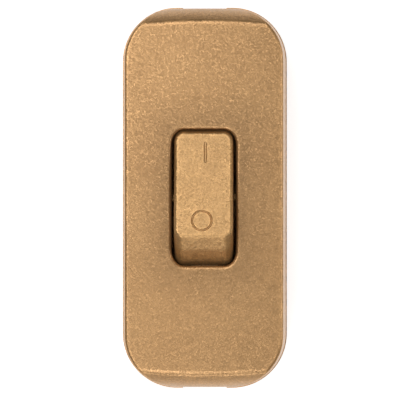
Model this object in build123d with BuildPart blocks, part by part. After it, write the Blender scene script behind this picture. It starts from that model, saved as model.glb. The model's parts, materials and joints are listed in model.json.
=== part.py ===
from build123d import *
import os
from math import cos, radians, sin, sqrt

# In-line rocker switch, lying on its flat back: +Z toward the rocker, +Y toward the
# end marked with the bar, +X to the right.  Millimetres.  The rocker stands in its
# "on" state, with the bar end pressed down.

# ---- casing ------------------------------------------------------------------
CASE_LENGTH = 70.0
CASE_WIDTH = 30.2
CASE_CORNER = 10.0
PARTING_Z = 7.0
COVER_TOP_Z = 17.4
WALL = 1.8
FLOOR_Z = WALL
BASE_DRAFT = 5.0
COVER_DRAFT = 3.0
COVER_STEP = 0.15
BACK_EDGE = 1.0
COVER_EDGE = 0.6

# rolled-down ends of the cover
CREASE_EDGE = 1.4
END_ROLL = 3.0
CREASE_Y = CASE_LENGTH / 2 - END_ROLL
CREASE_BOW = 117.0
BEVEL_RADIUS = 7.0
BEVEL_START = 38.0

# tongue of the base inside a rebate of the cover
TONGUE_SETBACK = 1.0
TONGUE_HEIGHT = 1.2
SHELL_FIT = 0.1

# cord inlets, half in each shell
INLET_WIDTH = 8.0
INLET_LOW_Z = 3.5
INLET_HIGH_Z = 10.5
INLET_CORNER = 1.2
INLET_DEPTH = 5.0

# ---- rocker ------------------------------------------------------------------
PIVOT_Z = 9.7
REST_TILT = 13.0
ROCKER_WIDTH = 10.65
ROCKER_HALF_TOP = 9.65
ROCKER_TOP = 10.44
BREAK_Y = 11.55
BREAK_Z = 7.75
BREAK_RADIUS = 4.0
SKIRT_Y = 13.75
SKIRT_Z = 2.2
SKIRT_STEP_Y = 11.4
HUB_RADIUS = 2.5
HUB_HALF = 2.2
ROCKER_WALL = 1.1
ROCKER_SKIN = 1.5
ROCKER_CORNER = 1.7
ROCKER_EDGE = 0.6
WEB = 1.0
AXLE_RADIUS = 1.2
AXLE_END_X = 6.8
AXLE_FIT = 0.05

# well of the cover round the rocker
WELL_SIDE_GAP = 0.5
WELL_RADIUS = 14.19
WELL_CORNER = 2.3
WELL_EDGE = 0.6
CHEEK = 1.2
CHEEK_LENGTH = 6.4
CHEEK_LOW_Z = 7.4

# engraved marks on the rocker's top
MARK_DEPTH = 0.2
MARK_SLOPE = 45.0
BAR_WIDTH = 0.58
BAR_LENGTH = 4.0
BAR_X = 0.3
BAR_Y = 6.05
RING_RADIUS = 2.0
RING_WIDTH = 0.45
RING_X = -0.3
RING_Y = -6.6

# ---- sprung plungers ---------------------------------------------------------
POLE_X = 2.4
STEM_RADIUS = 1.8
STEM_LOW = -2.8
BORE_TOP = 7.0
PLUNGER_RADIUS = 1.2
PLUNGER_TOP = 0.8
PLUNGER_FIT = 0.05
NOSE_RADIUS = 0.8
NOSE_REACH = 5.01
NOSE_CONE = 0.8
SPRING_RADIUS = 0.95
SPRING_WIRE = 0.15
SPRING_PITCH = 0.85

# ---- rocking contacts --------------------------------------------------------
HINGE_Z = 4.4
CONTACT_TILT = 6.5
WING_RISE = 11.0
WING_LENGTH = 7.0
WING_WIDTH = 3.0
SHEET = 0.6
BEND_INNER = 0.6
BEND_OUTER = BEND_INNER + SHEET
WAIST_WIDTH = 1.9
WAIST_LENGTH = 1.5
TIP_REACH = 6.0
TIP_RADIUS = 1.1
TIP_RIM = 0.3
TIP_HEIGHT = 0.5
CONTACT_GAP = 0.02

# strips on the floor of the base
STRIP_WIDTH = 3.0
STRIP = 0.6
STRIP_TOP_Z = FLOOR_Z + STRIP
STRIP_END_Y = 21.5
PIVOT_STRIP_START_Y = -1.5
CONTACT_STRIP_START_Y = 4.4
POST_WIDTH = 1.8
POST_LENGTH = 1.6
EAR = 0.45
EAR_LENGTH = 1.1
EAR_TOP_Z = 4.6
FIXED_TIP_Y = 5.9
FIXED_TIP_RADIUS = 1.2
FIXED_TIP_TOP_Z = 3.15
FIXED_TIP_EDGE = 0.1

# ---- terminals ---------------------------------------------------------------
PILLAR_X = 3.4
PILLAR_Y = 18.75
PILLAR_WIDTH = 4.2
PILLAR_LENGTH = 5.5
PILLAR_HEIGHT = 6.8
PILLAR_EDGE = 0.3
WIRE_BORE_RADIUS = 1.25
WIRE_BORE_Z = 5.3
TERMINAL_SCREW_RADIUS = 1.5
TERMINAL_SCREW_LOW_Z = 6.75
TERMINAL_SCREW_SHANK = 3.65
TERMINAL_HEAD_RADIUS = 1.9
TERMINAL_HEAD = 1.6
SCREW_FIT = 0.05
SLOT_WIDTH = 0.6
SLOT_DEPTH = 0.8
CROSS_LENGTH = 2.64

# insulating walls of the base
NEST_FIT = 0.1
NEST_WALL = 1.0
NEST_TOP_Z = 6.6
ENTRY_WIDTH = 3.2
RIB = 1.0
RIB_TOP_Z = 6.0
RAIL = 0.8
RAIL_LENGTH = 26.0
RAIL_HEIGHT = 1.4

# ---- cord clamps -------------------------------------------------------------
CLAMP_Y = CASE_LENGTH / 2 - 7.5
CLAMP_SCREW_X = 6.4
CLAMP_SEAT_Z = 9.6
CLAMP_POST_RADIUS = 1.7
CLAMP_BAR_LENGTH = 17.0
CLAMP_BAR_WIDTH = 4.4
CLAMP_BAR = 1.4
CLAMP_HUMP = 1.3
CLAMP_HUMP_HALF = 3.0
CLAMP_FOOT_X = 4.3
CLAMP_HOLE_RADIUS = 1.25
CLAMP_SCREW_RADIUS = 1.1
CLAMP_SCREW_LOW_Z = 5.0
CLAMP_PILOT_LOW_Z = 4.4
CLAMP_HEAD_RADIUS = 2.0
CLAMP_HEAD = 1.4
SADDLE_WIDTH = 8.4
SADDLE_TOOTH = 0.8
SADDLE_PITCH = 1.9

# ---- housing screws ----------------------------------------------------------
HOUSING_SCREW_X = CASE_WIDTH / 2 - 4.7
HOUSING_SCREW_Y = 12.0
HOUSING_SCREWS = [(HOUSING_SCREW_X, HOUSING_SCREW_Y), (-HOUSING_SCREW_X, -HOUSING_SCREW_Y)]
HOUSING_SCREW_RADIUS = 1.1
HOUSING_HEAD_RADIUS = 2.1
HOUSING_HEAD = 1.5
HOUSING_SEAT_Z = 3.0
HOUSING_SCREW_TOP_Z = 12.0
HOUSING_PILOT_TOP_Z = 12.6
HOUSING_RECESS_RADIUS = 2.3
HOUSING_HOLE_RADIUS = 1.3
BASE_BOSS_RADIUS = 3.0
COVER_BOSS_RADIUS = 2.4

# ---- frames of the tilted pieces ---------------------------------------------
ROCK_Y = (0, cos(radians(REST_TILT)), -sin(radians(REST_TILT)))
ROCK_Z = (0, sin(radians(REST_TILT)), cos(radians(REST_TILT)))
ROCKER_SIDE = Plane(origin=(0, 0, PIVOT_Z), x_dir=ROCK_Y, z_dir=(1, 0, 0))
ROCKER_UP = Plane(origin=(0, 0, PIVOT_Z), x_dir=(1, 0, 0), z_dir=ROCK_Z)

CONTACT_Y = (0, cos(radians(CONTACT_TILT)), sin(radians(CONTACT_TILT)))
CONTACT_Z = (0, -sin(radians(CONTACT_TILT)), cos(radians(CONTACT_TILT)))


# ---- casing shells -----------------------------------------------------------
def cover_form(inset):
    """Solid inside the cover's skin, its faces moved inward by inset."""
    reach = BEVEL_RADIUS - inset
    bevel_y = CREASE_Y - BEVEL_RADIUS * sin(radians(BEVEL_START))
    bevel_z = COVER_TOP_Z - BEVEL_RADIUS * cos(radians(BEVEL_START))
    half = sqrt(0.5) * reach
    setback = COVER_STEP + inset
    with BuildPart() as form:
        with BuildSketch(Plane.XY.offset(PARTING_Z)):
            RectangleRounded(CASE_WIDTH - 2 * setback, CASE_LENGTH - 2 * setback, CASE_CORNER - setback)
        extrude(amount=COVER_TOP_Z - inset - PARTING_Z, taper=COVER_DRAFT)
        for end in (1, -1):
            with BuildSketch(Plane.YZ):
                with BuildLine():
                    Polyline(
                        (end * (bevel_y + reach), bevel_z),
                        (end * (bevel_y + BEVEL_RADIUS + WALL), bevel_z),
                        (end * (bevel_y + BEVEL_RADIUS + WALL), COVER_TOP_Z + BEVEL_RADIUS),
                        (end * bevel_y, COVER_TOP_Z + BEVEL_RADIUS),
                        (end * bevel_y, bevel_z + reach),
                    )
                    ThreePointArc(
                        (end * bevel_y, bevel_z + reach),
                        (end * (bevel_y + half), bevel_z + half),
                        (end * (bevel_y + reach), bevel_z),
                    )
                make_face()
            revolve(axis=Axis((0, end * (CREASE_Y - CREASE_BOW), 0), (0, 0, 1)), mode=Mode.SUBTRACT)
        # soften the creases, then the rim between them
        creases = form.faces().sort_by(Axis.Z)[-1].edges().filter_by(GeomType.CIRCLE)
        fillet(creases.filter_by(lambda crease: crease.radius > CASE_WIDTH), CREASE_EDGE)
        top = form.faces().filter_by(Plane.XY).sort_by(Axis.Z)[-1]
        fillet(top.edges().filter_by(lambda rim: abs(rim.center().X) > CASE_CORNER / 2), COVER_EDGE)
    return form.part


def rocker_well():
    """Cutter for the opening round the rocker, its end walls arcs about the pivot."""
    top_z = COVER_TOP_Z + WALL
    low_z = COVER_TOP_Z - 3 * WALL
    with BuildPart() as well:
        with BuildSketch(Plane.YZ):
            with Locations((0, PIVOT_Z)):
                Circle(WELL_RADIUS)
            with Locations((0, (top_z + low_z) / 2)):
                Rectangle(3 * WELL_RADIUS, top_z - low_z, mode=Mode.INTERSECT)
        extrude(amount=ROCKER_WIDTH / 2 + WELL_SIDE_GAP, both=True)
        fillet(well.edges().filter_by(GeomType.CIRCLE), WELL_CORNER)
    return well.part


def cord_inlets():
    """Cutter for the cord's way through both end walls."""
    height = INLET_HIGH_Z - INLET_LOW_Z
    with BuildPart() as inlets:
        for end in (1, -1):
            with BuildSketch(Plane.XZ.offset(-end * (CASE_LENGTH / 2 + INLET_CORNER))):
                with Locations((0, INLET_LOW_Z + height / 2)):
                    RectangleRounded(INLET_WIDTH, height, INLET_CORNER)
            extrude(amount=end * INLET_DEPTH)
    return inlets.part


def make_front_cover():
    skin = cover_form(0)
    hollow = cover_form(WALL)
    well = rocker_well()
    inlets = cord_inlets()
    cheek_x = ROCKER_WIDTH / 2 + WELL_SIDE_GAP + CHEEK / 2
    rebate = TONGUE_SETBACK - SHELL_FIT
    inner = COVER_STEP + WALL + SHELL_FIT
    with BuildPart() as cover:
        add(skin)
        add(hollow, mode=Mode.SUBTRACT)
        # rebate over the tongue of the base
        with BuildSketch(Plane.XY.offset(PARTING_Z)):
            RectangleRounded(CASE_WIDTH - 2 * rebate, CASE_LENGTH - 2 * rebate, CASE_CORNER - rebate)
            RectangleRounded(
                CASE_WIDTH - 2 * inner, CASE_LENGTH - 2 * inner, CASE_CORNER - inner, mode=Mode.SUBTRACT
            )
        extrude(amount=TONGUE_HEIGHT + SHELL_FIT, mode=Mode.SUBTRACT)
        add(well, mode=Mode.SUBTRACT)
        fillet(cover.faces().filter_by(Plane.XY).sort_by(Axis.Z)[-1].inner_wires()[0].edges(), WELL_EDGE)
        # cheeks that carry the rocker's axle
        with BuildSketch(Plane.XY.offset(CHEEK_LOW_Z)):
            with GridLocations(2 * cheek_x, 0, 2, 1):
                Rectangle(CHEEK, CHEEK_LENGTH)
        extrude(amount=COVER_TOP_Z - WALL / 2 - CHEEK_LOW_Z)
        with BuildSketch(Plane.YZ):
            with Locations((0, PIVOT_Z)):
                Circle(AXLE_RADIUS + AXLE_FIT)
        extrude(amount=cheek_x + CHEEK, both=True, mode=Mode.SUBTRACT)
        # bosses for the housing screws
        with BuildSketch(Plane.XY.offset(PARTING_Z)):
            with Locations(*HOUSING_SCREWS):
                Circle(COVER_BOSS_RADIUS)
        extrude(amount=COVER_TOP_Z - WALL / 2 - PARTING_Z)
        with BuildSketch(Plane.XY.offset(PARTING_Z)):
            with Locations(*HOUSING_SCREWS):
                Circle(HOUSING_SCREW_RADIUS + SCREW_FIT)
        extrude(amount=HOUSING_PILOT_TOP_Z - PARTING_Z, mode=Mode.SUBTRACT)
        add(inlets, mode=Mode.SUBTRACT)
    cover.part.label = "front_cover"
    return cover.part


def make_rear_base():
    inlets = cord_inlets()
    parting_down = Plane(origin=(0, 0, PARTING_Z), x_dir=(1, 0, 0), z_dir=(0, 0, -1))
    nest_length = PILLAR_LENGTH + 2 * (NEST_FIT + NEST_WALL)
    nest_width = 2 * PILLAR_X + PILLAR_WIDTH + 2 * (NEST_FIT + NEST_WALL)
    entry_y = PILLAR_Y + PILLAR_LENGTH / 2 + NEST_FIT + NEST_WALL / 2
    gate_y = PILLAR_Y - PILLAR_LENGTH / 2 - NEST_FIT - NEST_WALL / 2
    rail_x = POLE_X + STRIP_WIDTH / 2 + NEST_FIT + RAIL / 2
    with BuildPart() as base:
        with BuildSketch(parting_down):
            RectangleRounded(CASE_WIDTH, CASE_LENGTH, CASE_CORNER)
        extrude(amount=PARTING_Z, taper=BASE_DRAFT)
        fillet(base.faces().sort_by(Axis.Z)[0].edges(), BACK_EDGE)
        with BuildSketch(parting_down):
            RectangleRounded(CASE_WIDTH - 2 * WALL, CASE_LENGTH - 2 * WALL, CASE_CORNER - WALL)
        extrude(amount=PARTING_Z - FLOOR_Z, taper=BASE_DRAFT, mode=Mode.SUBTRACT)
        # tongue that centres the cover
        with BuildSketch(Plane.XY.offset(PARTING_Z)):
            RectangleRounded(
                CASE_WIDTH - 2 * TONGUE_SETBACK,
                CASE_LENGTH - 2 * TONGUE_SETBACK,
                CASE_CORNER - TONGUE_SETBACK,
            )
            RectangleRounded(
                CASE_WIDTH - 2 * WALL, CASE_LENGTH - 2 * WALL, CASE_CORNER - WALL, mode=Mode.SUBTRACT
            )
        extrude(amount=TONGUE_HEIGHT)
        # nests for the terminal pillars
        with BuildSketch(Plane.XY.offset(FLOOR_Z)):
            with GridLocations(0, 2 * PILLAR_Y, 1, 2):
                Rectangle(nest_width, nest_length)
            with GridLocations(2 * PILLAR_X, 2 * PILLAR_Y, 2, 2):
                Rectangle(PILLAR_WIDTH + 2 * NEST_FIT, PILLAR_LENGTH + 2 * NEST_FIT, mode=Mode.SUBTRACT)
        extrude(amount=NEST_TOP_Z - FLOOR_Z)
        with BuildSketch(Plane.XY.offset(WIRE_BORE_Z - WIRE_BORE_RADIUS - NEST_FIT)):
            with GridLocations(2 * PILLAR_X, 2 * entry_y, 2, 2):
                Rectangle(ENTRY_WIDTH, NEST_WALL + 2 * NEST_FIT)
        extrude(amount=NEST_TOP_Z, mode=Mode.SUBTRACT)
        with BuildSketch(Plane.XY.offset(FLOOR_Z)):
            with GridLocations(2 * POLE_X, STRIP_END_Y + gate_y, 2, 2):
                Rectangle(STRIP_WIDTH + 2 * NEST_FIT, STRIP_END_Y - gate_y + NEST_WALL + 2 * NEST_FIT)
        extrude(amount=STRIP + NEST_FIT, mode=Mode.SUBTRACT)
        # rib between the poles and rails beside the strips
        with BuildSketch(Plane.XY.offset(FLOOR_Z)):
            Rectangle(RIB, 2 * gate_y)
        extrude(amount=RIB_TOP_Z - FLOOR_Z)
        with BuildSketch(Plane.XY.offset(FLOOR_Z)):
            with GridLocations(2 * rail_x, 0, 2, 1):
                Rectangle(RAIL, RAIL_LENGTH)
        extrude(amount=RAIL_HEIGHT)
        # posts and toothed saddles of the cord clamps
        with BuildSketch(Plane.XY.offset(FLOOR_Z)):
            with GridLocations(2 * CLAMP_SCREW_X, 2 * CLAMP_Y, 2, 2):
                Circle(CLAMP_POST_RADIUS)
        extrude(amount=CLAMP_SEAT_Z - FLOOR_Z)
        with BuildSketch(Plane.XY.offset(CLAMP_PILOT_LOW_Z)):
            with GridLocations(2 * CLAMP_SCREW_X, 2 * CLAMP_Y, 2, 2):
                Circle(CLAMP_SCREW_RADIUS + SCREW_FIT)
        extrude(amount=CLAMP_SEAT_Z, mode=Mode.SUBTRACT)
        with BuildSketch(Plane.XY.offset(FLOOR_Z)):
            for end in (1, -1):
                with Locations((0, end * CLAMP_Y)):
                    with GridLocations(0, SADDLE_PITCH, 1, 3):
                        Rectangle(SADDLE_WIDTH, SADDLE_TOOTH)
        extrude(amount=INLET_LOW_Z - FLOOR_Z)
        # bosses for the housing screws, their heads let into the back
        with BuildSketch(Plane.XY.offset(FLOOR_Z)):
            with Locations(*HOUSING_SCREWS):
                Circle(BASE_BOSS_RADIUS)
        extrude(amount=PARTING_Z - FLOOR_Z)
        for x, y in HOUSING_SCREWS:
            with Locations(Location((x, y, 0), (180, 0, 0))):
                CounterBoreHole(HOUSING_HOLE_RADIUS, HOUSING_RECESS_RADIUS, HOUSING_SEAT_Z)
        add(inlets, mode=Mode.SUBTRACT)
    base.part.label = "rear_base"
    return base.part


# ---- rocker ------------------------------------------------------------------
def beside_end_face(edge):
    """True for an edge between a side and an end face of the rocker."""
    middle = ROCKER_SIDE.to_local_coords(edge.center())
    return abs(middle.X) > ROCKER_HALF_TOP and middle.Y > SKIRT_Z + ROCKER_EDGE


def make_rocker_button():
    inner_top = ROCKER_TOP - ROCKER_SKIN
    slope = (BREAK_Y - ROCKER_HALF_TOP) / (ROCKER_TOP - BREAK_Z)
    inner_half_top = BREAK_Y - ROCKER_WALL - (inner_top - BREAK_Z) * slope
    up = Axis((0, 0, PIVOT_Z), ROCK_Z)
    with BuildPart() as rocker:
        with BuildSketch(ROCKER_SIDE) as profile:
            with BuildLine():
                Line((-ROCKER_HALF_TOP, ROCKER_TOP), (ROCKER_HALF_TOP, ROCKER_TOP))
                for end in (1, -1):
                    Polyline(
                        (end * ROCKER_HALF_TOP, ROCKER_TOP),
                        (end * BREAK_Y, BREAK_Z),
                        (end * SKIRT_Y, SKIRT_Z),
                        (end * SKIRT_STEP_Y, SKIRT_Z),
                        (end * HUB_HALF, -HUB_RADIUS / 2),
                    )
                ThreePointArc((-HUB_HALF, -HUB_RADIUS / 2), (0, -HUB_RADIUS), (HUB_HALF, -HUB_RADIUS / 2))
            make_face()
            fillet(profile.vertices().group_by(Axis.Y)[-2], BREAK_RADIUS)
        extrude(amount=ROCKER_WIDTH / 2, both=True)
        outline = rocker.edges().filter_by(Axis.X, reverse=True)
        fillet(outline.filter_by(beside_end_face), ROCKER_CORNER)
        fillet(rocker.faces().sort_by(up)[-1].edges(), ROCKER_EDGE)
        # hollow underside
        with BuildSketch(ROCKER_SIDE):
            with BuildLine():
                Line((-inner_half_top, inner_top), (inner_half_top, inner_top))
                for end in (1, -1):
                    Polyline(
                        (end * inner_half_top, inner_top),
                        (end * (BREAK_Y - ROCKER_WALL), BREAK_Z),
                        (end * (SKIRT_Y - ROCKER_WALL), SKIRT_Z),
                        (end * (SKIRT_Y - ROCKER_WALL), -HUB_RADIUS),
                    )
                Line((ROCKER_WALL - SKIRT_Y, -HUB_RADIUS), (SKIRT_Y - ROCKER_WALL, -HUB_RADIUS))
            make_face()
        extrude(amount=ROCKER_WIDTH / 2 - ROCKER_WALL, both=True, mode=Mode.SUBTRACT)
        # stems and the web that ties them to the sides
        with BuildSketch(ROCKER_UP.offset(STEM_LOW)):
            with GridLocations(2 * POLE_X, 0, 2, 1):
                Circle(STEM_RADIUS)
        extrude(amount=ROCKER_TOP - ROCKER_SKIN / 2 - STEM_LOW)
        with BuildSketch(ROCKER_UP.offset(AXLE_RADIUS)):
            Rectangle(ROCKER_WIDTH - ROCKER_WALL, WEB)
        extrude(amount=ROCKER_TOP - ROCKER_SKIN / 2 - AXLE_RADIUS)
        with BuildSketch(ROCKER_UP.offset(STEM_LOW)):
            with GridLocations(2 * POLE_X, 0, 2, 1):
                Circle(PLUNGER_RADIUS + PLUNGER_FIT)
        extrude(amount=BORE_TOP - STEM_LOW, mode=Mode.SUBTRACT)
        # stub axles
        for side in (1, -1):
            with BuildSketch(ROCKER_SIDE.offset(side * (ROCKER_WIDTH - ROCKER_WALL) / 2)):
                Circle(AXLE_RADIUS)
            extrude(amount=side * (AXLE_END_X - (ROCKER_WIDTH - ROCKER_WALL) / 2))
        # engraved bar and ring
        with BuildSketch(ROCKER_UP.offset(ROCKER_TOP)):
            with Locations((BAR_X, BAR_Y)):
                RectangleRounded(BAR_WIDTH, BAR_LENGTH, BAR_WIDTH / 4)
            with Locations((RING_X, RING_Y)):
                Circle(RING_RADIUS)
                Circle(RING_RADIUS - RING_WIDTH, mode=Mode.SUBTRACT)
        extrude(amount=-MARK_DEPTH, taper=MARK_SLOPE, mode=Mode.SUBTRACT)
    rocker.part.label = "rocker_button"
    return rocker.part


# ---- sprung plungers ---------------------------------------------------------
def make_plunger(label, x):
    cone_top = NOSE_CONE - NOSE_REACH
    half = sqrt(0.5) * NOSE_RADIUS
    section = Plane(origin=(x, 0, PIVOT_Z), x_dir=(1, 0, 0), z_dir=(0, -ROCK_Z[2], ROCK_Z[1]))
    with BuildPart() as plunger:
        with BuildSketch(section):
            with BuildLine():
                ThreePointArc(
                    (0, -NOSE_REACH - NOSE_RADIUS), (half, -NOSE_REACH - half), (NOSE_RADIUS, -NOSE_REACH)
                )
                Polyline(
                    (NOSE_RADIUS, -NOSE_REACH),
                    (PLUNGER_RADIUS, cone_top),
                    (PLUNGER_RADIUS, PLUNGER_TOP),
                    (0, PLUNGER_TOP),
                    (0, -NOSE_REACH - NOSE_RADIUS),
                )
            make_face()
        revolve(axis=Axis((x, 0, PIVOT_Z), ROCK_Z))
    plunger.part.label = label
    return plunger.part


def make_plunger_spring(label, x):
    foot = ROCKER_UP.offset(PLUNGER_TOP + SPRING_WIRE).from_local_coords((x, 0, 0))
    with BuildPart() as spring:
        with BuildLine() as coil:
            Helix(
                pitch=SPRING_PITCH,
                height=BORE_TOP - PLUNGER_TOP - 2 * SPRING_WIRE,
                radius=SPRING_RADIUS,
                center=foot,
                direction=ROCK_Z,
            )
        with BuildSketch(Plane(origin=coil.line @ 0, z_dir=coil.line % 0)):
            Circle(SPRING_WIRE)
        sweep(is_frenet=True)
    spring.part.label = label
    return spring.part


# ---- rocking contacts --------------------------------------------------------
def make_contact_bridge(label, x):
    rise = radians(WING_RISE)
    side = Plane(origin=(x, 0, HINGE_Z), x_dir=CONTACT_Y, z_dir=(1, 0, 0))
    up = Plane(origin=(x, 0, HINGE_Z), x_dir=(1, 0, 0), z_dir=CONTACT_Z)
    with BuildPart() as bridge:
        with BuildSketch(side):
            with BuildLine():
                for bend in (BEND_INNER, BEND_OUTER):
                    ThreePointArc(
                        (-bend * sin(rise), -bend * cos(rise)),
                        (0, -bend),
                        (bend * sin(rise), -bend * cos(rise)),
                    )
                for end in (1, -1):
                    Polyline(
                        (end * BEND_INNER * sin(rise), -BEND_INNER * cos(rise)),
                        (
                            end * (BEND_INNER * sin(rise) + WING_LENGTH * cos(rise)),
                            WING_LENGTH * sin(rise) - BEND_INNER * cos(rise),
                        ),
                        (
                            end * (BEND_OUTER * sin(rise) + WING_LENGTH * cos(rise)),
                            WING_LENGTH * sin(rise) - BEND_OUTER * cos(rise),
                        ),
                        (end * BEND_OUTER * sin(rise), -BEND_OUTER * cos(rise)),
                    )
            make_face()
        extrude(amount=WING_WIDTH / 2, both=True)
        with BuildSketch(up.offset(-WING_LENGTH)):
            RectangleRounded(WING_WIDTH, 2 * WING_LENGTH, WING_WIDTH / 4)
        extrude(amount=2 * WING_LENGTH, mode=Mode.INTERSECT)
        # side notches that straddle the ears of the pivot strip
        with BuildSketch(up.offset(-WING_LENGTH)):
            with GridLocations(WING_WIDTH, 0, 2, 1):
                Rectangle(WING_WIDTH - WAIST_WIDTH, WAIST_LENGTH)
        extrude(amount=2 * WING_LENGTH, mode=Mode.SUBTRACT)
    bridge.part.label = label
    return bridge.part


def make_moving_tip(label, x):
    slope = radians(WING_RISE - CONTACT_TILT)
    up = (0, sin(slope), cos(slope))
    seat = (
        x,
        -BEND_OUTER * sin(slope) - TIP_REACH * cos(slope),
        HINGE_Z - BEND_OUTER * cos(slope) + TIP_REACH * sin(slope),
    )
    crown = TIP_HEIGHT - TIP_RIM
    section = Plane(origin=seat, x_dir=(1, 0, 0), z_dir=(0, -up[2], up[1]))
    with BuildPart() as tip:
        with BuildSketch(section):
            with BuildLine():
                ThreePointArc(
                    (0, -TIP_HEIGHT), (TIP_RADIUS / 2, -TIP_RIM - 0.75 * crown), (TIP_RADIUS, -TIP_RIM)
                )
                Polyline((TIP_RADIUS, -TIP_RIM), (TIP_RADIUS, 0), (0, 0), (0, -TIP_HEIGHT))
            make_face()
        revolve(axis=Axis(seat, up))
    tip.part.label = label
    return tip.part


def make_fixed_tip(label, x):
    with BuildPart() as tip:
        with BuildSketch(Plane.XY.offset(STRIP_TOP_Z)):
            with Locations((x, -FIXED_TIP_Y)):
                Circle(FIXED_TIP_RADIUS)
        extrude(amount=FIXED_TIP_TOP_Z - STRIP_TOP_Z)
        chamfer(tip.faces().sort_by(Axis.Z)[-1].edges(), FIXED_TIP_EDGE)
    tip.part.label = label
    return tip.part


def make_pivot_strip(label, x):
    length = STRIP_END_Y - PIVOT_STRIP_START_Y
    with BuildPart() as strip:
        with BuildSketch(Plane.XY.offset(FLOOR_Z)):
            with Locations((x, PIVOT_STRIP_START_Y + length / 2)):
                Rectangle(STRIP_WIDTH, length)
        extrude(amount=STRIP)
        with BuildSketch(Plane.XY.offset(STRIP_TOP_Z)):
            with Locations((x, 0)):
                Rectangle(POST_WIDTH, POST_LENGTH)
        extrude(amount=HINGE_Z - BEND_OUTER - CONTACT_GAP - STRIP_TOP_Z)
        with BuildSketch(Plane.XY.offset(STRIP_TOP_Z)):
            with Locations((x, 0)):
                with GridLocations(STRIP_WIDTH - EAR, 0, 2, 1):
                    Rectangle(EAR, EAR_LENGTH)
        extrude(amount=EAR_TOP_Z - STRIP_TOP_Z)
    strip.part.label = label
    return strip.part


def make_contact_strip(label, x):
    length = STRIP_END_Y - CONTACT_STRIP_START_Y
    with BuildPart() as strip:
        with BuildSketch(Plane.XY.offset(FLOOR_Z)):
            with Locations((x, -CONTACT_STRIP_START_Y - length / 2)):
                Rectangle(STRIP_WIDTH, length)
        extrude(amount=STRIP)
        fillet(strip.edges().filter_by(Axis.Z).group_by(Axis.Y)[-1], STRIP)
    strip.part.label = label
    return strip.part


# ---- terminals ---------------------------------------------------------------
def make_terminal_pillar(label, x, y):
    with BuildPart() as pillar:
        with BuildSketch(Plane.XY.offset(STRIP_TOP_Z)):
            with Locations((x, y)):
                Rectangle(PILLAR_WIDTH, PILLAR_LENGTH)
        extrude(amount=PILLAR_HEIGHT)
        chamfer(pillar.faces().sort_by(Axis.Z)[-1].edges(), PILLAR_EDGE)
        with BuildSketch(Plane.XZ.offset(-y)):
            with Locations((x, WIRE_BORE_Z)):
                Circle(WIRE_BORE_RADIUS)
        extrude(amount=PILLAR_LENGTH, both=True, mode=Mode.SUBTRACT)
        with BuildSketch(Plane.XY.offset(WIRE_BORE_Z)):
            with Locations((x, y)):
                Circle(TERMINAL_SCREW_RADIUS + SCREW_FIT)
        extrude(amount=PILLAR_HEIGHT, mode=Mode.SUBTRACT)
    pillar.part.label = label
    return pillar.part


def make_terminal_screws():
    head_z = TERMINAL_SCREW_LOW_Z + TERMINAL_SCREW_SHANK
    spots = GridLocations(2 * PILLAR_X, 2 * PILLAR_Y, 2, 2)
    with BuildPart() as screws:
        with BuildSketch(Plane.XY.offset(TERMINAL_SCREW_LOW_Z)):
            with spots:
                Circle(TERMINAL_SCREW_RADIUS)
        extrude(amount=TERMINAL_SCREW_SHANK)
        with BuildSketch(Plane.XY.offset(head_z)):
            with spots:
                Circle(TERMINAL_HEAD_RADIUS)
        extrude(amount=TERMINAL_HEAD)
        with BuildSketch(Plane.XY.offset(head_z + TERMINAL_HEAD)):
            with spots:
                Rectangle(2 * TERMINAL_HEAD_RADIUS, SLOT_WIDTH)
        extrude(amount=-SLOT_DEPTH, mode=Mode.SUBTRACT)
    screws.part.label = "terminal_screws"
    return screws.part


# ---- cord clamps -------------------------------------------------------------
def make_cord_clamp(label, y):
    with BuildPart() as clamp:
        with BuildSketch(Plane.XZ.offset(-y)):
            with BuildLine():
                for height in (0, CLAMP_BAR):
                    Polyline(
                        (-CLAMP_BAR_LENGTH / 2, CLAMP_SEAT_Z + height),
                        (-CLAMP_FOOT_X, CLAMP_SEAT_Z + height),
                        (-CLAMP_HUMP_HALF, CLAMP_SEAT_Z + CLAMP_HUMP + height),
                        (CLAMP_HUMP_HALF, CLAMP_SEAT_Z + CLAMP_HUMP + height),
                        (CLAMP_FOOT_X, CLAMP_SEAT_Z + height),
                        (CLAMP_BAR_LENGTH / 2, CLAMP_SEAT_Z + height),
                    )
                for end in (1, -1):
                    Line(
                        (end * CLAMP_BAR_LENGTH / 2, CLAMP_SEAT_Z),
                        (end * CLAMP_BAR_LENGTH / 2, CLAMP_SEAT_Z + CLAMP_BAR),
                    )
            make_face()
        extrude(amount=CLAMP_BAR_WIDTH / 2, both=True)
        fillet(clamp.edges().filter_by(Axis.Z), CLAMP_BAR_WIDTH / 4)
        with BuildSketch(Plane.XY.offset(CLAMP_SEAT_Z)):
            with Locations((0, y)):
                with GridLocations(2 * CLAMP_SCREW_X, 0, 2, 1):
                    Circle(CLAMP_HOLE_RADIUS)
        extrude(amount=CLAMP_BAR, mode=Mode.SUBTRACT)
    clamp.part.label = label
    return clamp.part


def make_cord_clamp_screws():
    head_z = CLAMP_SEAT_Z + CLAMP_BAR
    spots = GridLocations(2 * CLAMP_SCREW_X, 2 * CLAMP_Y, 2, 2)
    with BuildPart() as screws:
        with BuildSketch(Plane.XY.offset(CLAMP_SCREW_LOW_Z)):
            with spots:
                Circle(CLAMP_SCREW_RADIUS)
        extrude(amount=head_z - CLAMP_SCREW_LOW_Z)
        with BuildSketch(Plane.XY.offset(head_z)):
            with spots:
                Circle(CLAMP_HEAD_RADIUS)
        extrude(amount=CLAMP_HEAD)
        with BuildSketch(Plane.XY.offset(head_z + CLAMP_HEAD)):
            with spots:
                Rectangle(CROSS_LENGTH, SLOT_WIDTH)
                Rectangle(SLOT_WIDTH, CROSS_LENGTH)
        extrude(amount=-SLOT_DEPTH, mode=Mode.SUBTRACT)
    screws.part.label = "cord_clamp_screws"
    return screws.part


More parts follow.
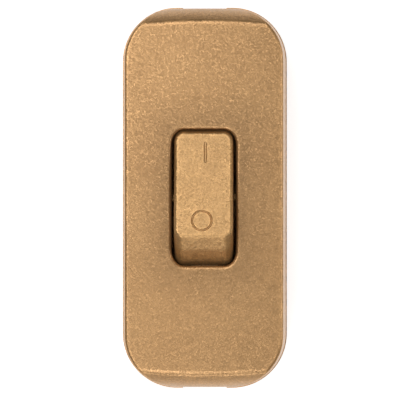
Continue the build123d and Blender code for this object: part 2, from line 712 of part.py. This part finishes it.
def make_housing_screws():
    with BuildPart() as screws:
        with BuildSketch(Plane.XY.offset(HOUSING_SEAT_Z - HOUSING_HEAD)):
            with Locations(*HOUSING_SCREWS):
                Circle(HOUSING_HEAD_RADIUS)
        extrude(amount=HOUSING_HEAD)
        with BuildSketch(Plane.XY.offset(HOUSING_SEAT_Z)):
            with Locations(*HOUSING_SCREWS):
                Circle(HOUSING_SCREW_RADIUS)
        extrude(amount=HOUSING_SCREW_TOP_Z - HOUSING_SEAT_Z)
        with BuildSketch(Plane.XY.offset(HOUSING_SEAT_Z - HOUSING_HEAD)):
            with Locations(*HOUSING_SCREWS):
                Rectangle(CROSS_LENGTH, SLOT_WIDTH)
                Rectangle(SLOT_WIDTH, CROSS_LENGTH)
        extrude(amount=SLOT_DEPTH, mode=Mode.SUBTRACT)
    screws.part.label = "housing_screws"
    return screws.part


# ---- all the pieces ----------------------------------------------------------
pieces = [
    make_front_cover(),
    make_rear_base(),
    make_rocker_button(),
    make_terminal_screws(),
    make_cord_clamp("cord_clamp_i", CLAMP_Y),
    make_cord_clamp("cord_clamp_o", -CLAMP_Y),
    make_cord_clamp_screws(),
    make_housing_screws(),
]
for pole, pole_sign in (("left", -1), ("right", 1)):
    pole_x = pole_sign * POLE_X
    pieces.append(make_plunger("plunger_" + pole, pole_x))
    pieces.append(make_plunger_spring("plunger_spring_" + pole, pole_x))
    pieces.append(make_contact_bridge("contact_bridge_" + pole, pole_x))
    pieces.append(make_moving_tip("moving_contact_tip_" + pole, pole_x))
    pieces.append(make_fixed_tip("fixed_contact_tip_" + pole, pole_x))
    pieces.append(make_pivot_strip("pivot_strip_" + pole, pole_x))
    pieces.append(make_contact_strip("contact_strip_" + pole, pole_x))
    pieces.append(make_terminal_pillar("terminal_pillar_i_" + pole, pole_sign * PILLAR_X, PILLAR_Y))
    pieces.append(make_terminal_pillar("terminal_pillar_o_" + pole, pole_sign * PILLAR_X, -PILLAR_Y))

os.makedirs("parts", exist_ok=True)
for piece in pieces:
    export_step(piece, "parts/" + piece.label + ".step")
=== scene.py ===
import json
import math

import bpy
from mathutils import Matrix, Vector


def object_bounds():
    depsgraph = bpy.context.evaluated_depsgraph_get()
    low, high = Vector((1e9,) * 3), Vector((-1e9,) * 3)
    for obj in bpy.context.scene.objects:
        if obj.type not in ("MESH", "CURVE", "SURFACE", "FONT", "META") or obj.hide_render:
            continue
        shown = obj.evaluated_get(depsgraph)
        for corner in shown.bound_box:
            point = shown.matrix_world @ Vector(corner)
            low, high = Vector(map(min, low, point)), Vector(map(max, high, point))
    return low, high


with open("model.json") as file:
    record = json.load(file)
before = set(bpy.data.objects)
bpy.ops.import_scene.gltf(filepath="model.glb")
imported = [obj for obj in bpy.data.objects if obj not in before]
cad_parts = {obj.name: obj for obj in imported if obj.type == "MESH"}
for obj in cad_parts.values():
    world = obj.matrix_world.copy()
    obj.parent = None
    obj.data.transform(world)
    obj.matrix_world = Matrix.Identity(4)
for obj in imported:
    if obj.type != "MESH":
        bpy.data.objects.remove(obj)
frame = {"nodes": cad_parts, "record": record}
cad_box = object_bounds()
nodes = frame["nodes"]
scene = bpy.context.scene
MM = 0.001

# Half the width and half the length of the rocker's opening, which is centred on the origin.
OPENING_HALF = (6.0 * MM, 12.4 * MM, 0.0)
# How far round the opening the paint carries painted shade, standing in for the rocker's shadow.
OPENING_SHADE_REACH = 7.0 * MM
# How far the paint's edge lightening looks into the solid, and how far its painted shade looks out
# of it into gaps.
EDGE_REACH = 0.9 * MM
GAP_REACH = 3.0 * MM
# Cells in a metre of the paint's two sizes of flake: about 0.18 mm and 0.1 mm across.
COARSE_FLAKES = 5600.0
FINE_FLAKES = 9500.0


# ---- material building blocks -------------------------------------------------
class Mat:
    """A node material with a Principled shader and a few short-hands."""

    def __init__(self, name, **sockets):
        self.mat = bpy.data.materials.new(name)
        self.mat.use_nodes = True
        self.tree = self.mat.node_tree
        self.shader = self.tree.nodes["Principled BSDF"]
        for socket, value in sockets.items():
            self.shader.inputs[socket.replace("_", " ")].default_value = value
        self.coords = self.tree.nodes.new("ShaderNodeTexCoord").outputs["Object"]

    def node(self, kind, links=(), **settings):
        made = self.tree.nodes.new(kind)
        for key, value in settings.items():
            setattr(made, key, value)
        for socket, source in dict(links).items():
            self.put(made.inputs[socket], source)
        return made

    def put(self, socket, source):
        if isinstance(source, bpy.types.NodeSocket):
            self.tree.links.new(source, socket)
        else:
            socket.default_value = source

    def noise(self, scale, detail=2.0, rough=0.5):
        """Fractal noise, 0 to 1, with a grain of about 1/scale metres."""
        links = {"Vector": self.coords, "Scale": scale, "Detail": detail, "Roughness": rough}
        return self.node("ShaderNodeTexNoise", links).outputs["Fac"]

    def flakes(self, scale):
        """One random colour for each cell of about 1/scale metres."""
        links = {"Vector": self.coords, "Scale": scale, "Randomness": 1.0}
        return self.node("ShaderNodeTexVoronoi", links).outputs["Color"]

    def span(self, value, low, high, to_low=0.0, to_high=1.0):
        """Map low..high onto to_low..to_high, held at both ends."""
        links = {
            "Value": value, "From Min": low, "From Max": high, "To Min": to_low, "To Max": to_high,
        }
        return self.node("ShaderNodeMapRange", links).outputs["Result"]

    def math(self, operation, a, b):
        return self.node("ShaderNodeMath", {0: a, 1: b}, operation=operation).outputs[0]

    def vector(self, operation, a, b):
        made = self.node("ShaderNodeVectorMath", {0: a, 1: b}, operation=operation)
        return made.outputs["Vector"]

    def length(self, vector):
        made = self.node("ShaderNodeVectorMath", {0: vector}, operation="LENGTH")
        return made.outputs["Value"]

    def centred(self, colour):
        """A random colour as a vector of -0.5 to 0.5 each way."""
        return self.vector("SUBTRACT", colour, (0.5, 0.5, 0.5))

    def scaled(self, vector, factor):
        links = {0: vector, "Scale": factor}
        return self.node("ShaderNodeVectorMath", links, operation="SCALE").outputs["Vector"]

    def channel(self, colour, name):
        return self.node("ShaderNodeSeparateColor", {"Color": colour}).outputs[name]

    def mix(self, factor, a, b):
        made = self.node("ShaderNodeMix", data_type="RGBA")
        self.put(made.inputs["Factor"], factor)
        self.put(made.inputs[6], a)
        self.put(made.inputs[7], b)
        return made.outputs[2]

    def bump(self, height, strength, distance, normal=None):
        links = {"Height": height, "Strength": strength, "Distance": distance}
        if normal is not None:
            links["Normal"] = normal
        return self.node("ShaderNodeBump", links).outputs["Normal"]

    def worn_edge(self, radius):
        """1 on edges tighter than radius and 0 on flats, and the rounded normal with it."""
        soft = self.node("ShaderNodeBevel", {"Radius": radius}, samples=6).outputs["Normal"]
        true = self.node("ShaderNodeNewGeometry").outputs["Normal"]
        dot = self.node("ShaderNodeVectorMath", {0: soft, 1: true}, operation="DOT_PRODUCT")
        return self.span(dot.outputs["Value"], 0.995, 0.9), soft

    def crowding(self, distance, inside):
        """0 on open flats, up to 1 at outer edges (inside) or in corners and gaps (outside)."""
        seen = self.node(
            "ShaderNodeAmbientOcclusion", {"Distance": distance}, samples=8, inside=inside,
            only_local=inside,
        )
        return self.span(seen.outputs["AO"], 1.0, 0.45)

    def reach_from_opening(self):
        """Distance in plan from the rocker's opening."""
        made = self.node("ShaderNodeVectorMath", {0: self.coords}, operation="ABSOLUTE")
        past = self.vector("SUBTRACT", made.outputs["Vector"], OPENING_HALF)
        past = self.vector("MAXIMUM", past, (0.0, 0.0, 0.0))
        return self.length(self.vector("MULTIPLY", past, (1.0, 1.0, 0.0)))

    def finish(self, **links):
        for socket, source in links.items():
            self.put(self.shader.inputs[socket.replace("_", " ")], source)
        return self.mat


def rgb(red, green, blue):
    """Linear colour from 8-bit sRGB."""
    return tuple(((c / 255 + 0.055) / 1.055) ** 2.4 for c in (red, green, blue)) + (1.0,)


# ---- materials ----------------------------------------------------------------
def gold_paint(name, light, dark, flake_tilt, seed, gap_shade_tone=1.0, opening_shade_tone=1.0):
    """Sprayed metallic paint in a satin coat, with two sizes of flake tilted at random.

    Outer edges are lighter, partly as rubbed paint and partly as a painted highlight. Gaps carry
    painted shade, darker by the gap tone argument, and the zone round the rocker's opening carries
    painted shade, darker by the opening tone argument.
    """
    m = Mat(name, Metallic=0.70, Coat_Weight=0.12, Coat_Roughness=0.30)
    cloud = m.span(m.noise(70.0 + seed, 2.0), 0.3, 0.7)
    tone = m.mix(cloud, dark, light)
    coarse = m.flakes(COARSE_FLAKES + seed)
    fine = m.flakes(FINE_FLAKES + seed)
    spark = m.span(m.channel(fine, "Green"), 0.86, 1.0)
    glint = m.span(m.channel(coarse, "Red"), 0.0, 1.0, 0.80, 1.20)
    glint = m.math("ADD", glint, m.math("MULTIPLY", spark, 0.20))
    # Outer edges lighter: partly rubbed paint, partly a painted highlight.
    rubbed_and_highlit = m.crowding(EDGE_REACH, inside=True)
    # Painted shade: darker in gaps, corners and recesses, where shade falls.
    gap_shade = m.crowding(GAP_REACH, inside=False)
    glint = m.math("MULTIPLY", glint, m.span(rubbed_and_highlit, 0.0, 0.6, 1.0, 1.55))
    glint = m.math("MULTIPLY", glint, m.span(gap_shade, 0.0, 1.0, 1.0, gap_shade_tone))
    # Painted shade: the paint is darker round the rocker's opening, where the raised rocker's
    # shadow falls.
    opening_shade = m.span(m.reach_from_opening(), 0.0, OPENING_SHADE_REACH, opening_shade_tone, 1.0)
    tone = m.scaled(tone, m.math("MULTIPLY", glint, opening_shade))
    # Edges and the walls of the engraved marks are mixed towards a light gold: partly worn paint,
    # partly painted highlight.
    wear_and_sheen, soft = m.worn_edge(0.12 * MM)
    tone = m.mix(m.math("MULTIPLY", wear_and_sheen, 0.6), tone, rgb(236, 204, 156))
    bent = m.vector("ADD", soft, m.scaled(m.centred(coarse), flake_tilt))
    bent = m.vector("ADD", bent, m.scaled(m.centred(fine), flake_tilt * 0.5))
    bent = m.node("ShaderNodeVectorMath", {0: bent}, operation="NORMALIZE").outputs["Vector"]
    peel = m.bump(m.noise(1500.0, 2.0), 0.2, 0.015 * MM, bent)
    rough = m.span(m.noise(700.0, 2.0), 0.3, 0.7, 0.34, 0.42)
    rough = m.math("SUBTRACT", rough, m.math("MULTIPLY", spark, 0.05))
    return m.finish(Base_Color=tone, Roughness=rough, Normal=peel)


def metal(name, light, dark, rough_low, rough_high, grain, streak=(1.0, 1.0, 1.0)):
    """Stamped, drawn or turned metal with streaks along one way and brighter edges."""
    m = Mat(name, Metallic=1.0)
    m.coords = m.vector("MULTIPLY", m.coords, streak)
    lines = m.noise(grain, 3.0, 0.6)
    tone = m.mix(m.span(lines, 0.3, 0.7), dark, light)
    stain = m.span(m.noise(grain * 0.12, 3.0), 0.45, 0.75)
    stained = tuple(c * 0.6 for c in dark[:3]) + (1.0,)
    tone = m.mix(m.math("MULTIPLY", stain, 0.35), tone, stained)
    wear_and_sheen, soft = m.worn_edge(0.1 * MM)
    tone = m.mix(m.math("MULTIPLY", wear_and_sheen, 0.5), tone, light)
    rough = m.span(lines, 0.3, 0.7, rough_low, rough_high)
    return m.finish(Base_Color=tone, Roughness=rough, Normal=m.bump(lines, 0.3, 0.01 * MM, soft))


def moulded(name, light, dark, rough, grain, grain_depth, **sockets):
    """Moulded plastic with a spark-eroded grain and slightly polished edges."""
    m = Mat(name, Metallic=0.0, **sockets)
    pits = m.noise(grain, 4.0, 0.6)
    tone = m.mix(m.span(m.noise(grain * 0.05, 2.0), 0.3, 0.7), dark, light)
    wear_and_sheen, soft = m.worn_edge(0.15 * MM)
    tone = m.mix(m.math("MULTIPLY", wear_and_sheen, 0.3), tone, light)
    shine = m.span(pits, 0.3, 0.7, rough - 0.06, rough + 0.08)
    return m.finish(Base_Color=tone, Roughness=shine, Normal=m.bump(pits, 0.35, grain_depth, soft))


GOLD = (rgb(184, 143, 96), rgb(178, 137, 91))
ROCKER_GOLD = (rgb(178, 139, 90), rgb(172, 133, 85))
ALONG_Y = (1.0, 0.08, 1.0)
ALONG_X = (0.2, 1.0, 1.0)
finishes = {
    "cover_paint": gold_paint(
        "cover_gold", *GOLD, flake_tilt=0.20, seed=0.0, gap_shade_tone=0.76, opening_shade_tone=0.80,
    ),
    "base_paint": gold_paint("base_gold", *GOLD, flake_tilt=0.18, seed=37.0, gap_shade_tone=0.82),
    "rocker_paint": gold_paint("rocker_gold", *ROCKER_GOLD, flake_tilt=0.26, seed=71.0),
    "clamp_plastic": moulded(
        "clamp_black", rgb(52, 52, 54), rgb(34, 34, 36), 0.5, 2500.0, 0.02 * MM,
    ),
    "plunger_nylon": moulded(
        "plunger_nylon", rgb(238, 236, 226), rgb(222, 219, 206), 0.42, 1800.0, 0.01 * MM,
        Subsurface_Weight=0.15, Subsurface_Scale=0.5 * MM,
    ),
    "plated_steel": metal(
        "plated_steel", rgb(206, 207, 205), rgb(168, 170, 170), 0.24, 0.42, 3000.0,
    ),
    "spring_steel": metal(
        "spring_steel", rgb(170, 170, 172), rgb(120, 121, 124), 0.22, 0.36, 5000.0,
    ),
    "strip_brass": metal(
        "strip_brass", rgb(226, 190, 118), rgb(196, 156, 86), 0.26, 0.42, 2600.0, ALONG_Y,
    ),
    "terminal_brass": metal(
        "terminal_brass", rgb(222, 188, 122), rgb(190, 152, 88), 0.2, 0.38, 3200.0, ALONG_X,
    ),
    "contact_silver": metal(
        "contact_silver", rgb(232, 232, 230), rgb(196, 196, 196), 0.16, 0.34, 4200.0,
    ),
}
for entry in frame["record"]["subparts"]:
    mesh = nodes[entry["node"]].data
    mesh.materials.clear()
    mesh.materials.append(finishes[entry["material_slot"]])


# ---- floor, light and camera ----------------------------------------------------
FLOOR_HALF = 1.2
FLOOR_GAP = 0.02 * MM
# The floor glows from the middle out to GLOW_FULL and fades to GLOW_FAR at GLOW_END.
GLOW_FULL, GLOW_END = 53.0 * MM, 120.0 * MM
GLOW_NEAR, GLOW_FAR = 0.68, 0.08


def make_floor():
    """A pale floor just under the switch, with a glow that keeps it white in view."""
    half = FLOOR_HALF
    mesh = bpy.data.meshes.new("studio_floor")
    corners = [(-half, -half, 0), (half, -half, 0), (half, half, 0), (-half, half, 0)]
    mesh.from_pydata(corners, [], [(0, 1, 2, 3)])
    floor = bpy.data.objects.new("studio_floor", mesh)
    floor.location.z = cad_box[0].z - FLOOR_GAP
    scene.collection.objects.link(floor)
    m = Mat("studio_white", Roughness=0.9, Emission_Color=(1.0, 1.0, 1.0, 1.0))
    tint = m.mix(m.noise(4.0, 2.0), (0.72, 0.72, 0.72, 1.0), (0.76, 0.76, 0.76, 1.0))
    glow = m.span(m.length(m.coords), GLOW_FULL, GLOW_END, GLOW_NEAR, GLOW_FAR)
    mesh.materials.append(m.finish(Base_Color=tint, Emission_Strength=glow))


# Each light: degrees round from +X, degrees down from straight above, metres off, size in
# metres and watts.
LIGHTS = {
    "key_upper_left": (142, 22, 0.28, (0.10, 0.10), 0.198),
    "top_end": (95, 36, 0.35, (0.16, 0.12), 0.27),
    "lower_left": (-110, 30, 0.30, (0.12, 0.12), 0.275),
    "right_strip": (4, 46, 0.50, (0.03, 0.30), 0.46),
    "front_fill": (-90, 70, 0.65, (0.40, 0.15), 0.80),
}
WORLD_STRENGTH = 0.06


def area_light(name, around, tilt, distance, size, power):
    """Soft light aimed at the switch."""
    middle = Vector((0.0, 0.0, 10.0 * MM))
    turn, lean = math.radians(around), math.radians(tilt)
    way = Vector((math.sin(lean) * math.cos(turn), math.sin(lean) * math.sin(turn), math.cos(lean)))
    light = bpy.data.lights.new(name, "AREA")
    light.shape = "RECTANGLE"
    light.size, light.size_y = size
    light.energy = power
    made = bpy.data.objects.new(name, light)
    made.location = middle + way * distance
    made.rotation_mode = "QUATERNION"
    made.rotation_quaternion = (-way).to_track_quat("-Z", "Y")
    scene.collection.objects.link(made)


def make_light():
    world = bpy.data.worlds.new("studio_world")
    world.use_nodes = True
    background = world.node_tree.nodes["Background"]
    background.inputs["Color"].default_value = (1.0, 1.0, 1.0, 1.0)
    background.inputs["Strength"].default_value = WORLD_STRENGTH
    scene.world = world
    for name, placing in LIGHTS.items():
        area_light(name, *placing)


# The camera's view is VIEW_WIDTH wide at the height VIEW_HEIGHT, about the cover's middle.
VIEW_WIDTH = 73.68 * MM
VIEW_HEIGHT = 7.0 * MM
CAMERA_REACH = 0.65
SENSOR_WIDTH = 36.0


def make_camera():
    """Straight down on the switch, a degree to its right, far off with a long lens."""
    lean = math.radians(1.0)
    aim = Vector((-0.875 * MM, -0.414 * MM, VIEW_HEIGHT))
    data = bpy.data.cameras.new("camera")
    data.sensor_width = SENSOR_WIDTH
    data.lens = SENSOR_WIDTH * CAMERA_REACH / VIEW_WIDTH
    camera = bpy.data.objects.new("camera", data)
    camera.location = aim + Vector((math.sin(lean), 0.0, math.cos(lean))) * CAMERA_REACH
    camera.rotation_euler = (0.0, lean, 0.0)
    scene.collection.objects.link(camera)
    scene.camera = camera


make_floor()
make_light()
make_camera()
scene.view_settings.view_transform = "Standard"
